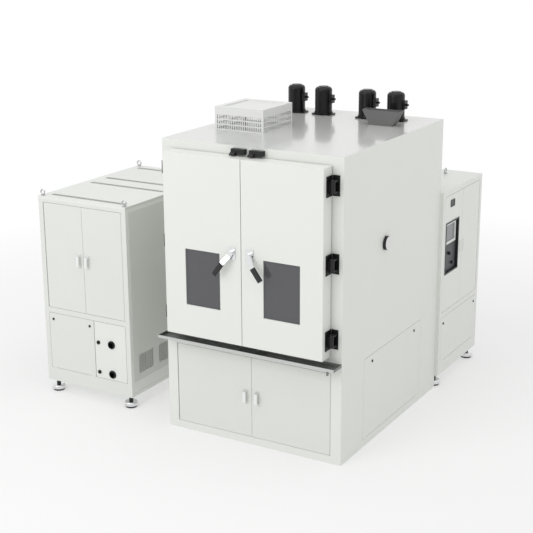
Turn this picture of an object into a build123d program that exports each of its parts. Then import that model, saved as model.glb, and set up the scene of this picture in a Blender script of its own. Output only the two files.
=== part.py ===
from build123d import *
import os

# Environmental test chamber with its cooling cabinet and its control cabinet.
# All sizes are in millimetres. The origin is the middle of the chamber's underside on the floor.
# X runs to the right along the chamber's front, Y runs to its back and Z is up.
# The control cabinet stands against the chamber's back and its doors face +X.

# Chamber body
CHAMBER_WIDTH = 1640.0
CHAMBER_DEPTH = 1910.0
CHAMBER_HEIGHT = 2500.0
BASE_HEIGHT = 840.0
SKIN = 2.0
SIDE_WALL = 140.0
ROOF_WALL = 115.0
FLOOR_WALL = 115.0
REAR_WALL = 120.0
BASE_WALL = 30.0

# Insulated double doors
DOOR_THICKNESS = 132.0
DOOR_LAP = 42.0
DOOR_SPLIT = 6.0
GASKET_SEAT = 8.0
GASKET_WIDTH = 26.0
GASKET_INSET = 5.0
MEETING_SEAL_DEPTH = 30.0
MEETING_SEAL_SETBACK = 12.0
EDGE_RELIEF = 7.0
PLUG_DEPTH = 40.0
PLUG_GAP = 16.0
WINDOW_WIDTH = 326.0
WINDOW_HEIGHT = 472.0
WINDOW_DROP = 254.0
WINDOW_STEP = 18.0
WINDOW_RECESS = 9.0
GLASS_THICKNESS = 10.0

# Clearances shared by everything that moves
SEAT_GAP = 0.3
RUNNING_GAP = 0.05

# Strap hinges of the double doors
HINGE_REACH = 38.0
HINGE_SETOUT = 65.0
HINGE_HEIGHT = 160.0
HINGE_INSET = 148.0
HINGE_PLATE = 6.0
HINGE_PLATE_WIDTH = 58.0
HINGE_CLEARANCE = 2.0
STRAP_SETOUT = 99.0
KNUCKLE_RADIUS = 19.0
KNUCKLE_WEB = 16.0
LUG_THICKNESS = 12.0
KNUCKLE_LENGTH = 74.0
HINGE_PIN_RADIUS = 7.0
HINGE_PIN_HEAD = 4.0

# Lever handles
LEVER_OFFSET = 82.0
LEVER_RISE = 5.0
LEVER_DROOP = 36.0
LEVER_WIDTH = 38.0
LEVER_THICKNESS = 13.0
LEVER_ROUNDING = 18.0
ARM_LENGTH = 98.0
ARM_STANDOFF = 14.0
ARM_SETOUT = 50.0
BOSS_RADIUS = 23.0
GRIP_LENGTH = 122.0
GRIP_WIDTH = 42.0
GRIP_THICKNESS = 24.0
GRIP_ROUNDING = 7.0
TANG_WIDTH = 22.0
TANG_THICKNESS = 7.0
TANG_LENGTH = 104.0
SPINDLE_RADIUS = 10.0
ROSE_WIDTH = 66.0
ROSE_HEIGHT = 100.0
ROSE_THICKNESS = 8.0
ROSE_CORNER = 8.0

# Locking rods that the levers push out of the doors
ROD_RADIUS = 7.0
ROD_SETBACK = 30.0
ROD_START = 26.0
ROD_PROUD = 3.0
HUB_RADIUS = 22.0
HUB_LENGTH = 20.0
LOCK_CASE_WIDTH = 54.0
LOCK_CASE_HEIGHT = 116.0
LOCK_CASE_DEPTH = 26.0
KEEPER_CLEARANCE = 2.0

# Catches over the doors and keepers under them
CATCH_WIDTH = 118.0
CATCH_HEIGHT = 42.0
CATCH_DEPTH = 46.0
CATCH_RISE = 14.0
JAW_WIDTH = 45.0
JAW_NOSE = 28.0
JAW_LAP = 12.0
JAW_LIFT = 6.0
KEEPER_WIDTH = 47.0
KEEPER_HEIGHT = 14.0
KEEPER_DEPTH = 112.0
KEEPER_DROP = 12.0

# Drip tray under the doors
TRAY_DEPTH = 137.0
TRAY_HEIGHT = 23.0
TRAY_THICKNESS = 3.0
SPOUT_RADIUS = 9.0
SPOUT_BORE = 6.5
SPOUT_LENGTH = 62.0
SPOUT_INSET = 90.0
SPOUT_SETBACK = 70.0

# Flush doors that turn on pins in their edge
LEAF_DEPTH = 25.0
LEAF_SKIN = 3.0
LEAF_RIM = 22.0
LEAF_GAP = 3.0
EDGE_PIN_RADIUS = 4.0
EDGE_PIN_DEPTH = 16.0
BASE_DOORS_MARGIN = 95.0
BASE_DOORS_LOW = 70.0
BASE_DOORS_DROP = 72.0

# Bow handles
BOW_LENGTH = 124.0
BOW_WIDTH = 26.0
BOW_DEPTH = 34.0
BOW_BAR = 10.0
BOW_FOOT = 16.0
BOW_INSET = 55.0
BASE_BOW_LEVEL = 422.0

# Lift-off panels and their quarter-turn latches
PANEL_DEPTH = 20.0
PANEL_SKIN = 3.0
PANEL_RIM = 16.0
PANEL_FOOT_LENGTH = 40.0
LATCH_RADIUS = 11.0
LATCH_HEAD = 5.0
LATCH_SLOT = 3.0
LATCH_STEM = 7.0
LATCH_DROP = 58.0
LATCH_CAM_WIDTH = 18.0
LATCH_CAM_THICKNESS = 4.0
LATCH_CAM_LAP = 12.0
LATCH_CAM_GAP = 0.5
SERVICE_START = 405.0
SERVICE_END = 360.0
SERVICE_LATCH_INSET = 150.0
CABINET_LATCH_INSET = 46.0

# Cable port in the right wall
PORT_RADIUS = 50.0
PORT_SETBACK = 765.0
PORT_LEVEL = 1661.0
PORT_SLEEVE = 3.0
PORT_FLANGE = 66.0
PORT_FLANGE_THICKNESS = 5.0
PLUG_LENGTH = 62.0
PLUG_HEAD = 57.0
PLUG_HEAD_THICKNESS = 24.0
PLUG_ROUNDING = 4.0

# Vent box on the roof
VENT_INSET = 159.0
VENT_SETBACK = 547.0
VENT_WIDTH = 465.0
VENT_DEPTH = 485.0
VENT_WALL_HEIGHT = 178.0
VENT_SKIN = 3.0
VENT_EDGE = 10.0
VENT_ROWS = 3
VENT_SLOT_HEIGHT = 32.0
VENT_ROW_PITCH = 42.0
VENT_FIRST_ROW = 8.0
VENT_SLOT_PITCH = 18.0
VENT_SLOT_WIDTH = 11.0
VENT_RIM = 50.0
VENT_SINK = 10.0

# Fan motors and centrifugal wheels
MOTOR_SPACING_INNER = 215.0
MOTOR_SPACING_OUTER = 487.0
MOTOR_SETBACK = 1640.0
MOTOR_RADIUS = 76.0
MOTOR_HEIGHT = 251.0
MOTOR_SHOULDER = 30.0
MOTOR_CAP_RADIUS = 42.0
MOTOR_CAP = 5.0
MOTOR_FOOT_RADIUS = 82.0
MOTOR_FOOT = 14.0
FLANGE_WIDTH = 190.0
FLANGE_DEPTH = 120.0
FLANGE_THICKNESS = 12.0
FLANGE_CORNER = 20.0
TERMINAL_WIDTH = 60.0
TERMINAL_HEIGHT = 72.0
TERMINAL_DEPTH = 20.0
TERMINAL_LEVEL = 106.0
GLAND_RADIUS = 9.0
GLAND_LENGTH = 22.0
SHAFT_RADIUS = 9.0
SHAFT_HOLE = 14.0
SHAFT_SEAT = 20.0
SHAFT_END_GAP = 1.0
WHEEL_RADIUS = 110.0
WHEEL_HEIGHT = 84.0
WHEEL_EYE = 72.0
WHEEL_DISC = 3.0
WHEEL_BLADES = 12
WHEEL_DROP = 34.0
BLADE_THICKNESS = 3.0
BLADE_BULGE = 7.0
BLADE_LEAN = 32.0
WHEEL_HUB_RADIUS = 22.0
WHEEL_HUB_HEIGHT = 36.0

# Intake hopper on the roof
HOPPER_OFFSET = 483.0
HOPPER_SETBACK = 1340.0
HOPPER_DEPTH = 100.0
HOPPER_HEIGHT = 127.0
HOPPER_BOTTOM = 208.0
HOPPER_TOP = 346.0
HOPPER_SKIN = 3.0

# Air duct behind the test space
BAFFLE_SETBACK = 1480.0
BAFFLE_THICKNESS = 3.0
BAFFLE_FLANGE = 40.0
BAFFLE_SLOTS = 8
BAFFLE_SLOT_WIDTH = 106.0
BAFFLE_SLOT_HEIGHT = 110.0
BAFFLE_SLOT_PITCH = 154.0
BAFFLE_MARGIN = 60.0
COIL_DEPTH = 130.0
COIL_HEIGHT = 520.0
COIL_LEVEL = 1330.0
COIL_FINS = 26
COIL_FIN_PITCH = 50.0
COIL_FIN_THICKNESS = 4.0
COIL_CORE_INSET = 14.0
HEATER_RADIUS = 8.0
HEATER_COUNT = 3
HEATER_PITCH = 40.0
HEATER_LEVEL = 1960.0

# Cooling and control cabinets
CABINET_WIDTH = 950.0
CABINET_HEIGHT = 1731.0
CABINET_WALL = 30.0
CABINET_ROOF = 20.0
CABINET_MARGIN = 50.0
FOOT_HEIGHT = 112.0
SHEET = 3.0
DOOR_TOP_DROP = 52.0
CABINET_BOW_LEVEL = 1302.0
CABINET_BOW_INSET = 45.0

# Cooling cabinet
COOLING_GAP = 470.0
COOLING_SETBACK = 95.0
COOLING_DEPTH = 1500.0
COOLING_DOORS_LOW = 823.0
COOLING_PANEL_LOW = 241.0
COOLING_PANEL_HIGH = 768.0
COOLING_PANEL_WIDTH = 504.0
MULLION_LAP = 10.0
SIDE_PANEL_START = 43.0
SIDE_PANEL_GAP = 12.0
SIDE_PANEL_LOW = 243.0
SIDE_PANEL_LAP = 20.0
GRILLE_MARGIN = 76.0
GRILLE_END_MARGIN = 106.0
GRILLE_LEVEL = 60.0
GRILLE_COLUMNS = 8
GRILLE_ROWS = 9
GRILLE_PITCH_X = 27.0
GRILLE_PITCH_Z = 19.0
GRILLE_SLOT_WIDTH = 21.0
GRILLE_SLOT_HEIGHT = 12.0
ROOF_ROW_END = 110.0
ROOF_ROW_NEAR = 88.0
ROOF_ROW_FAR = 138.0
ROOF_SLOTS = 26
ROOF_SLOT_PITCH = 31.0
ROOF_SLOT_WIDTH = 18.0
ROOF_SLOT_LENGTH = 54.0

# Control cabinet
CONTROL_PROUD = 30.0
CONTROL_DEPTH = 600.0
CONTROL_DOORS_LOW = 711.0
CONTROL_PANEL_LOW = 233.0
CONTROL_PANEL_HIGH = 655.0

# Pipe ports of the cooling cabinet
SMALL_PIPE_COLUMN = 39.0
LARGE_PIPE_COLUMN = 183.0
SMALL_PIPE_RADIUS = 12.0
LARGE_PIPE_RADIUS = 31.0
LOWER_PIPES = 295.0
UPPER_PIPES = 574.0
PIPE_WALL = 4.0
PIPE_PROUD = 14.0
PIPE_LENGTH = 120.0
PIPE_COLLAR = 6.0

# Feet and lifting eyes
PAD_RADIUS = 50.0
PAD_HEIGHT = 18.0
BELL_RADIUS = 60.0
BELL_HEIGHT = 36.0
BELL_ROUNDING = 14.0
STUD_RADIUS = 9.0
NUT_RADIUS = 20.0
NUT_HEIGHT = 24.0
HEXAGON_SIDES = 6
FOOT_INSET = 62.0
EYE_RADIUS = 21.0
EYE_BAR = 6.0
EYE_COLLAR = 17.0
EYE_COLLAR_HEIGHT = 10.0
EYE_INSET = 30.0
CONTROL_EYE_INSET = 183.0

# Machinery inside the cabinets
COMPRESSOR_RADIUS = 115.0
COMPRESSOR_HEIGHT = 360.0
COMPRESSOR_CROWN = 40.0
COMPRESSOR_SPACING = 360.0
COMPRESSOR_SETBACK = 420.0
CONDENSER_RADIUS = 80.0
CONDENSER_LENGTH = 700.0
CONDENSER_SETBACK = 900.0
SADDLE_HEIGHT = 90.0
SADDLE_WIDTH = 50.0
SADDLE_SPACING = 400.0
SADDLE_DEPTH = 130.0
GEAR_PLATE = 5.0
GEAR_MARGIN = 50.0
GEAR_SETBACK = 380.0
GEAR_ROWS = 4
GEAR_COLUMNS = 6
GEAR_WIDTH = 78.0
GEAR_HEIGHT = 92.0
GEAR_DEPTH = 90.0
GEAR_PITCH_X = 120.0
GEAR_PITCH_Z = 230.0
GEAR_BRACKET = 40.0

# Operator panel in the near door of the control cabinet
OPERATOR_INSET = 28.0
OPERATOR_WIDTH = 312.0
OPERATOR_LOW = 1060.0
OPERATOR_HEIGHT = 485.0
OPERATOR_FRAME = 10.0
OPERATOR_LIP = 4.0
OPERATOR_SINK = 28.0
OPERATOR_SHEET = 3.0
PLATE_HEIGHT = 262.0
PLATE_RISE = 6.0
SCREEN_WIDTH = 262.0
SCREEN_HEIGHT = 202.0
SCREEN_DEPTH = 12.0
SCREEN_BEZEL = 24.0
SCREEN_LEFT = 8.0
SCREEN_TOP = 14.0
GLASS_SHEET = 2.0
CONTROL_RADIUS = 15.0
KNOB_DEPTH = 16.0
KNOB_GRIP_WIDTH = 8.0
KNOB_GRIP_DEPTH = 8.0
BUTTON_DEPTH = 14.0
BUTTON_GAP = 6.0
STEM_RADIUS = 6.0
KNOB_PLACE = (126.0, 180.0)
BUTTON_PLACE = (212.0, 72.0)
SOCKET_PLACE = (42.0, 78.0)
SOCKET_DEPTH = 8.0
PORTHOLE_PLACE = (140.0, 650.0)
PORTHOLE_WIDTH = 92.0
PORTHOLE_HEIGHT = 64.0
PORTHOLE_DEPTH = 5.0
PORTHOLE_BORDER = 10.0
POCKET_WIDTH = 24.0
POCKET_HEIGHT = 118.0
POCKET_DEPTH = 4.0
POCKET_BORDER = 5.0
POCKET_INSET = 40.0
POCKET_LEVEL = 1248.0

# Planes worked out from the sizes above
RIGHT = CHAMBER_WIDTH / 2
FRONT = -CHAMBER_DEPTH / 2
BACK = CHAMBER_DEPTH / 2
SERVICE_LENGTH = CHAMBER_DEPTH - SERVICE_START - SERVICE_END
BASE_DOORS_EDGE = RIGHT - BASE_DOORS_MARGIN
BASE_DOORS_HIGH = BASE_HEIGHT - BASE_DOORS_DROP
OPENING = RIGHT - SIDE_WALL
LINER = OPENING - SKIN
SPACE_LOW = BASE_HEIGHT + FLOOR_WALL
SPACE_HIGH = CHAMBER_HEIGHT - ROOF_WALL
SPACE_BACK = BACK - REAR_WALL
LEAF_EDGE = OPENING + DOOR_LAP
LEAF_LOW = SPACE_LOW - DOOR_LAP
LEAF_HIGH = SPACE_HIGH + DOOR_LAP
LEAF_REAR = FRONT - GASKET_SEAT
LEAF_FRONT = LEAF_REAR - DOOR_THICKNESS
PLUG_REAR = FRONT + PLUG_DEPTH
ROSE_FRONT = LEAF_FRONT - ROSE_THICKNESS
HINGE_X = LEAF_EDGE + HINGE_REACH
HINGE_Y = FRONT - HINGE_SETOUT
HINGE_LEVELS = (LEAF_LOW + HINGE_INSET, (LEAF_LOW + LEAF_HIGH) / 2, LEAF_HIGH - HINGE_INSET)
WINDOW_X = (DOOR_SPLIT / 2 + LEAF_EDGE) / 2
WINDOW_Z = (LEAF_LOW + LEAF_HIGH) / 2 - WINDOW_DROP
LEVER_Z = (LEAF_LOW + LEAF_HIGH) / 2 + LEVER_RISE
ROD_Y = FRONT - ROD_SETBACK
PORT_Y = FRONT + PORT_SETBACK
MOTOR_X = (-MOTOR_SPACING_OUTER, -MOTOR_SPACING_INNER, MOTOR_SPACING_INNER, MOTOR_SPACING_OUTER)
MOTOR_Y = FRONT + MOTOR_SETBACK
CABINET_TOP = FOOT_HEIGHT + CABINET_HEIGHT
CABINET_HALF = CABINET_WIDTH / 2
CABINET_EDGE = CABINET_HALF - CABINET_MARGIN
DOORS_HIGH = CABINET_TOP - DOOR_TOP_DROP
CABINET_LEAF = CABINET_EDGE - LEAF_GAP / 2
SIDE_PANEL_LENGTH = (COOLING_DEPTH - SIDE_PANEL_GAP) / 2 - SIDE_PANEL_START
FIXED_PANEL_X = COOLING_PANEL_WIDTH - CABINET_EDGE + 2 * LEAF_GAP
OPERATOR_LEFT = OPERATOR_INSET - CABINET_EDGE
OPERATOR_RIGHT = OPERATOR_LEFT + OPERATOR_WIDTH
OPERATOR_TOP = OPERATOR_LOW + OPERATOR_HEIGHT
PLATE_FACE = OPERATOR_SINK - PLATE_RISE

# Where the two cabinets and the chamber's right side stand
COOLING_PLACE = Pos(-RIGHT - COOLING_GAP - CABINET_HALF, FRONT + COOLING_SETBACK, 0)
CONTROL_PLACE = Pos(RIGHT + CONTROL_PROUD, BACK + CABINET_HALF, 0) * Rot(0, 0, 90)
SIDE_PLACE = Pos(RIGHT, FRONT, 0) * Rot(0, 0, 90)


def block(x0, x1, y0, y1, z0, z1):
    """Box between two opposite corners."""
    middle = Pos((x0 + x1) / 2, (y0 + y1) / 2, (z0 + z1) / 2)
    return middle * Box(x1 - x0, y1 - y0, z1 - z0)


def rod(start, direction, radius, length):
    """Round bar from a start point, straight along a direction."""
    place = Plane(origin=start, z_dir=direction).location
    return place * Cylinder(radius, length, align=(Align.CENTER, Align.CENTER, Align.MIN))


def flipped(solids):
    """The same pieces on the other side of the middle plane."""
    return [mirror(solid, about=Plane.YZ) for solid in solids]


def placed(location, solids):
    """The same pieces moved to another place."""
    return [location * solid for solid in solids]


def upright(sketch, thickness):
    """Flat sheet standing on the XZ plane with its outside towards -Y."""
    return Pos(0, thickness, 0) * Rot(90, 0, 0) * extrude(sketch, thickness)


def framed_wall(x0, x1, margins, y0, y1, z0, z1, openings):
    """Posts and rails of one wall round openings stacked over each other."""
    left, right = margins
    pieces = [block(x0, x0 + left, y0, y1, z0, z1), block(x1 - right, x1, y0, y1, z0, z1)]
    low = z0
    for opening_low, opening_high in openings:
        pieces.append(block(x0 + left, x1 - right, y0, y1, low, opening_low))
        low = opening_high
    pieces.append(block(x0 + left, x1 - right, y0, y1, low, z1))
    return pieces


def gapped(low, high):
    """Heights of the opening round a leaf or panel."""
    return (low - LEAF_GAP, high + LEAF_GAP)


# Flush doors that turn on pins in their edge

def edge_leaf(width, height):
    """Folded leaf with its turning axis on Z, its face towards -Y and its free edge at -X."""
    radius = LEAF_DEPTH / 2
    free = radius - width
    leaf = block(free, 0, -radius, radius, 0, height)
    leaf += rod((0, 0, 0), (0, 0, 1), radius, height)
    leaf -= block(free + LEAF_RIM, -LEAF_RIM, LEAF_SKIN - radius, radius, LEAF_RIM, height - LEAF_RIM)
    hole = EDGE_PIN_RADIUS + RUNNING_GAP
    leaf -= rod((0, 0, 0), (0, 0, 1), hole, EDGE_PIN_DEPTH)
    return leaf - rod((0, 0, height - EDGE_PIN_DEPTH), (0, 0, 1), hole, EDGE_PIN_DEPTH)


def edge_pins(height):
    """Lower and upper pin of an edge leaf, standing off the frame."""
    length = EDGE_PIN_DEPTH + LEAF_GAP - SEAT_GAP
    lower = rod((0, 0, -LEAF_GAP), (0, 0, 1), EDGE_PIN_RADIUS, length)
    upper = rod((0, 0, height + LEAF_GAP - length), (0, 0, 1), EDGE_PIN_RADIUS, length)
    return [lower, upper]


def door_pair_pins(edge, low, high):
    """Pins of two leaves that meet in the middle."""
    right = placed(leaf_axis(edge, low), edge_pins(high - low))
    return right + flipped(right)


def leaf_axis(edge, low):
    """Turning axis of a right-hand leaf whose hinge edge is at a given X."""
    return Pos(edge - LEAF_DEPTH / 2, LEAF_DEPTH / 2, low)


def bow_handle():
    """Bow handle on the XZ plane with its grip towards -Y."""
    half = BOW_LENGTH / 2
    side = Polyline(
        [
            (0, 0, -half),
            (0, -BOW_DEPTH, BOW_FOOT - half),
            (0, -BOW_DEPTH, half - BOW_FOOT),
            (0, 0, half),
            (0, 0, half - BOW_FOOT),
            (0, BOW_BAR - BOW_DEPTH, half - 2 * BOW_FOOT),
            (0, BOW_BAR - BOW_DEPTH, 2 * BOW_FOOT - half),
            (0, 0, BOW_FOOT - half),
        ],
        close=True,
    )
    return extrude(make_face(side), BOW_WIDTH / 2, both=True)


# Lift-off panels with quarter-turn latches

def lift_panel(width, height, inset):
    """Folded panel with its face at y = 0, two feet and two latch holes."""
    panel = block(0, width, 0, PANEL_DEPTH, 0, height)
    rim = PANEL_RIM
    panel -= block(rim, width - rim, PANEL_SKIN, PANEL_DEPTH, rim, height - rim)
    for x in (rim, width - rim - PANEL_FOOT_LENGTH):
        panel += block(x, x + PANEL_FOOT_LENGTH, 0, PANEL_DEPTH, SEAT_GAP - LEAF_GAP, 0)
    for x in (inset, width - inset):
        panel -= rod((x, 0, height - LATCH_DROP), (0, 1, 0), LATCH_STEM + RUNNING_GAP, PANEL_DEPTH)
    return panel


def quarter_latch(side):
    """Slotted round head, stem and cam, the cam lying towards one side."""
    latch = rod((0, -LATCH_HEAD, 0), (0, 1, 0), LATCH_RADIUS, LATCH_HEAD)
    half = LATCH_SLOT / 2
    latch -= block(-LATCH_RADIUS, LATCH_RADIUS, -LATCH_HEAD, -LATCH_HEAD / 2, -half, half)
    start = BASE_WALL + LATCH_CAM_GAP
    latch += rod((0, 0, 0), (0, 1, 0), LATCH_STEM, start)
    length = LATCH_DROP + LEAF_GAP + LATCH_CAM_LAP
    width = LATCH_CAM_WIDTH / 2
    x0, x1 = (-width, length) if side > 0 else (-length, width)
    return latch + block(x0, x1, start, start + LATCH_CAM_THICKNESS, -width, width)


def panel_with_latches(name, place, width, height, inset):
    """Nodes of one lift-off panel and its left and right latch."""
    level = height - LATCH_DROP
    return {
        name + "_panel": [place * lift_panel(width, height, inset)],
        name + "_latch_1": [place * Pos(inset, 0, level) * quarter_latch(1)],
        name + "_latch_2": [place * Pos(width - inset, 0, level) * quarter_latch(-1)],
    }


# Chamber body

def shaft_holes(z0, z1):
    """Clearance holes for the four fan shafts."""
    return [rod((x, MOTOR_Y, z0), (0, 0, 1), SHAFT_HOLE, z1 - z0) for x in MOTOR_X]


def port_hole(x0, x1):
    """Hole for the sleeve of the cable port."""
    return rod((x0, PORT_Y, PORT_LEVEL), (1, 0, 0), PORT_RADIUS + PORT_SLEEVE, x1 - x0)


def base_frame():
    """Base with its floor, top, left and rear walls, and open frames in front and on the right."""
    wall = BASE_WALL
    inner = (wall, BASE_HEIGHT - wall)
    opening = [gapped(BASE_DOORS_LOW, BASE_DOORS_HIGH)]
    pieces = [
        block(-RIGHT, RIGHT, FRONT, BACK, 0, wall),
        block(-RIGHT, RIGHT, FRONT, BACK, BASE_HEIGHT - wall, BASE_HEIGHT),
        block(-RIGHT, -RIGHT + wall, FRONT + wall, BACK - wall, *inner),
        block(-RIGHT, RIGHT, BACK - wall, BACK, *inner),
    ]
    margin = BASE_DOORS_MARGIN - LEAF_GAP
    pieces += framed_wall(-RIGHT, RIGHT, (margin, margin), FRONT, FRONT + wall, *inner, opening)
    near = SERVICE_START - LEAF_GAP - wall
    far = SERVICE_END - LEAF_GAP - wall
    pieces += placed(SIDE_PLACE, framed_wall(wall, CHAMBER_DEPTH - wall, (near, far), 0, wall, *inner, opening))
    pins = door_pair_pins(BASE_DOORS_EDGE, BASE_DOORS_LOW, BASE_DOORS_HIGH)
    return pieces + placed(Pos(0, FRONT, 0), pins)


def insulation():
    """Foam between the casing and the liner, one slab for each side."""
    outer = RIGHT - SKIN
    front = FRONT + SKIN
    back = BACK - SKIN
    low = BASE_HEIGHT + SKIN
    high = CHAMBER_HEIGHT - SKIN
    return [
        block(OPENING, outer, front, back, low, high) - port_hole(OPENING, outer),
        block(-outer, -OPENING, front, back, low, high),
        block(-OPENING, OPENING, front, back, SPACE_HIGH, high) - shaft_holes(SPACE_HIGH, high),
        block(-OPENING, OPENING, front, back, low, SPACE_LOW),
        block(-OPENING, OPENING, SPACE_BACK, back, SPACE_LOW, SPACE_HIGH),
    ]


def outer_casing():
    """Painted outer skin with the front face round the door opening."""
    casing = block(-RIGHT, RIGHT, FRONT, BACK, BASE_HEIGHT, CHAMBER_HEIGHT)
    inner = RIGHT - SKIN
    casing -= block(-inner, inner, FRONT + SKIN, BACK - SKIN, BASE_HEIGHT + SKIN, CHAMBER_HEIGHT - SKIN)
    casing -= block(-OPENING, OPENING, FRONT, FRONT + SKIN, SPACE_LOW, SPACE_HIGH)
    casing -= port_hole(inner, RIGHT)
    return [casing - shaft_holes(CHAMBER_HEIGHT - SKIN, CHAMBER_HEIGHT)]


def test_space_liner():
    """Stainless tub of the test space."""
    tub = block(-OPENING, OPENING, FRONT, SPACE_BACK, SPACE_LOW, SPACE_HIGH)
    tub -= block(-LINER, LINER, FRONT, SPACE_BACK - SKIN, SPACE_LOW + SKIN, SPACE_HIGH - SKIN)
    tub -= port_hole(LINER, OPENING)
    return [tub - shaft_holes(SPACE_HIGH - SKIN, SPACE_HIGH)]


def drip_tray():
    """Open tray that catches water under the doors, with its drain spout."""
    front = FRONT - TRAY_DEPTH
    top = BASE_HEIGHT + TRAY_HEIGHT
    wall = TRAY_THICKNESS
    tray = block(-RIGHT, RIGHT, front, FRONT, BASE_HEIGHT, top)
    tray -= block(wall - RIGHT, RIGHT - wall, front + wall, FRONT - wall, BASE_HEIGHT + wall, top)
    start = (RIGHT - SPOUT_INSET, front + SPOUT_SETBACK, BASE_HEIGHT - SPOUT_LENGTH)
    tray += rod(start, (0, 0, 1), SPOUT_RADIUS, SPOUT_LENGTH)
    return [tray - rod(start, (0, 0, 1), SPOUT_BORE, SPOUT_LENGTH + wall)]


# Insulated double doors, made on the right and flipped for the left

def window_block(y0, y1, margin):
    """Block the size of the window less a margin, between two depths."""
    half = WINDOW_WIDTH / 2 - margin
    rise = WINDOW_HEIGHT / 2 - margin
    return block(WINDOW_X - half, WINDOW_X + half, y0, y1, WINDOW_Z - rise, WINDOW_Z + rise)


def door_leaf():
    """Door slab with its plug, a stepped window opening, the lock case and the rods' bores."""
    edge = DOOR_SPLIT / 2
    plan = Polyline(
        [
            (edge, LEAF_FRONT, LEAF_LOW),
            (LEAF_EDGE, LEAF_FRONT, LEAF_LOW),
            (LEAF_EDGE, LEAF_REAR, LEAF_LOW),
            (edge + EDGE_RELIEF, LEAF_REAR, LEAF_LOW),
            (edge, HINGE_Y, LEAF_LOW),
        ],
        close=True,
    )
    leaf = extrude(make_face(plan), LEAF_HIGH - LEAF_LOW, dir=(0, 0, 1))
    plug_low = SPACE_LOW + PLUG_GAP
    plug_high = SPACE_HIGH - PLUG_GAP
    leaf += block(PLUG_GAP, LINER - PLUG_GAP, LEAF_REAR, PLUG_REAR, plug_low, plug_high)
    leaf -= window_block(LEAF_FRONT, PLUG_REAR, WINDOW_STEP)
    leaf -= window_block(LEAF_FRONT, LEAF_FRONT + WINDOW_RECESS + GLASS_THICKNESS, 0)
    leaf -= window_block(PLUG_REAR - GLASS_THICKNESS, PLUG_REAR, 0)
    x = LEVER_OFFSET
    half = LOCK_CASE_WIDTH / 2
    rise = LOCK_CASE_HEIGHT / 2
    front = ROD_Y - LOCK_CASE_DEPTH / 2
    leaf -= block(x - half, x + half, front, front + LOCK_CASE_DEPTH, LEVER_Z - rise, LEVER_Z + rise)
    leaf -= rod((x, LEAF_FRONT, LEVER_Z), (0, 1, 0), SPINDLE_RADIUS + RUNNING_GAP, ROD_Y - LEAF_FRONT)
    return [leaf - rod((x, ROD_Y, LEAF_LOW), (0, 0, 1), ROD_RADIUS + RUNNING_GAP, LEAF_HIGH - LEAF_LOW)]


def door_gasket():
    """Rubber seal against the frame on three sides, and the strip between the two doors."""
    edge = DOOR_SPLIT / 2
    x0 = edge + EDGE_RELIEF
    x1 = LEAF_EDGE - GASKET_INSET
    z0 = LEAF_LOW + GASKET_INSET
    z1 = LEAF_HIGH - GASKET_INSET
    rear = FRONT - SEAT_GAP
    seal = block(x0, x1, LEAF_REAR, rear, z0, z1)
    seal -= block(x0, x1 - GASKET_WIDTH, LEAF_REAR, rear, z0 + GASKET_WIDTH, z1 - GASKET_WIDTH)
    y0 = LEAF_FRONT + MEETING_SEAL_SETBACK
    strip = block(SEAT_GAP, edge, y0, y0 + MEETING_SEAL_DEPTH, z0, z1)
    return [seal, strip]


def door_window():
    """Outer and inner panes of the heated window."""
    front = LEAF_FRONT + WINDOW_RECESS
    outer = window_block(front, front + GLASS_THICKNESS, 0)
    inner = window_block(PLUG_REAR - GLASS_THICKNESS, PLUG_REAR, 0)
    return [outer, inner]


# Strap hinges

def knuckle(z0, z1):
    """Hinge barrel between two heights, still without its bore."""
    return rod((HINGE_X, HINGE_Y, z0), (0, 0, 1), KNUCKLE_RADIUS, z1 - z0)


def frame_hinge(z):
    """Plate on the chamber's face with two lugs, and the pin that they hold."""
    half = HINGE_HEIGHT / 2
    face = FRONT - HINGE_PLATE
    x0 = LEAF_EDGE + HINGE_PLATE + HINGE_CLEARANCE
    bracket = block(x0, x0 + HINGE_PLATE_WIDTH, face, FRONT, z - half, z + half)
    inner = KNUCKLE_LENGTH / 2 + SEAT_GAP
    outer = inner + LUG_THICKNESS
    for z0, z1 in ((z + inner, z + outer), (z - outer, z - inner)):
        bracket += knuckle(z0, z1)
        bracket += block(HINGE_X - KNUCKLE_RADIUS, HINGE_X + KNUCKLE_RADIUS, HINGE_Y, face, z0, z1)
    pin = rod((HINGE_X, HINGE_Y, z - outer), (0, 0, 1), HINGE_PIN_RADIUS, 2 * outer)
    head = rod((HINGE_X, HINGE_Y, z + outer), (0, 0, 1), KNUCKLE_RADIUS, HINGE_PIN_HEAD)
    return [bracket - pin, pin + head]


def hinge_brackets():
    """The six brackets on the chamber's face with their pins."""
    pieces = []
    for z in HINGE_LEVELS:
        pieces += frame_hinge(z)
    return pieces + flipped(pieces)


def door_hinge(z):
    """Strap on the door's edge with the middle knuckle."""
    half = HINGE_HEIGHT / 2
    reach = KNUCKLE_LENGTH / 2
    web = KNUCKLE_WEB / 2
    strap = block(LEAF_EDGE, LEAF_EDGE + HINGE_PLATE, FRONT - STRAP_SETOUT, LEAF_REAR, z - half, z + half)
    strap += knuckle(z - reach, z + reach)
    strap += block(LEAF_EDGE, HINGE_X, HINGE_Y - web, HINGE_Y + web, z - reach, z + reach)
    return strap - rod((HINGE_X, HINGE_Y, z - reach), (0, 0, 1), HINGE_PIN_RADIUS + RUNNING_GAP, 2 * reach)


# Lever handles and the rods that they push

def lever_rose():
    """Plate behind the lever's boss."""
    half = ROSE_WIDTH / 2
    rise = ROSE_HEIGHT / 2
    rose = block(LEVER_OFFSET - half, LEVER_OFFSET + half, ROSE_FRONT, LEAF_FRONT, LEVER_Z - rise, LEVER_Z + rise)
    rose = fillet(rose.edges().filter_by(Axis.Y), ROSE_CORNER)
    hole = SPINDLE_RADIUS + RUNNING_GAP
    return rose - rod((LEVER_OFFSET, ROSE_FRONT, LEVER_Z), (0, 1, 0), hole, ROSE_THICKNESS)


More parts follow.
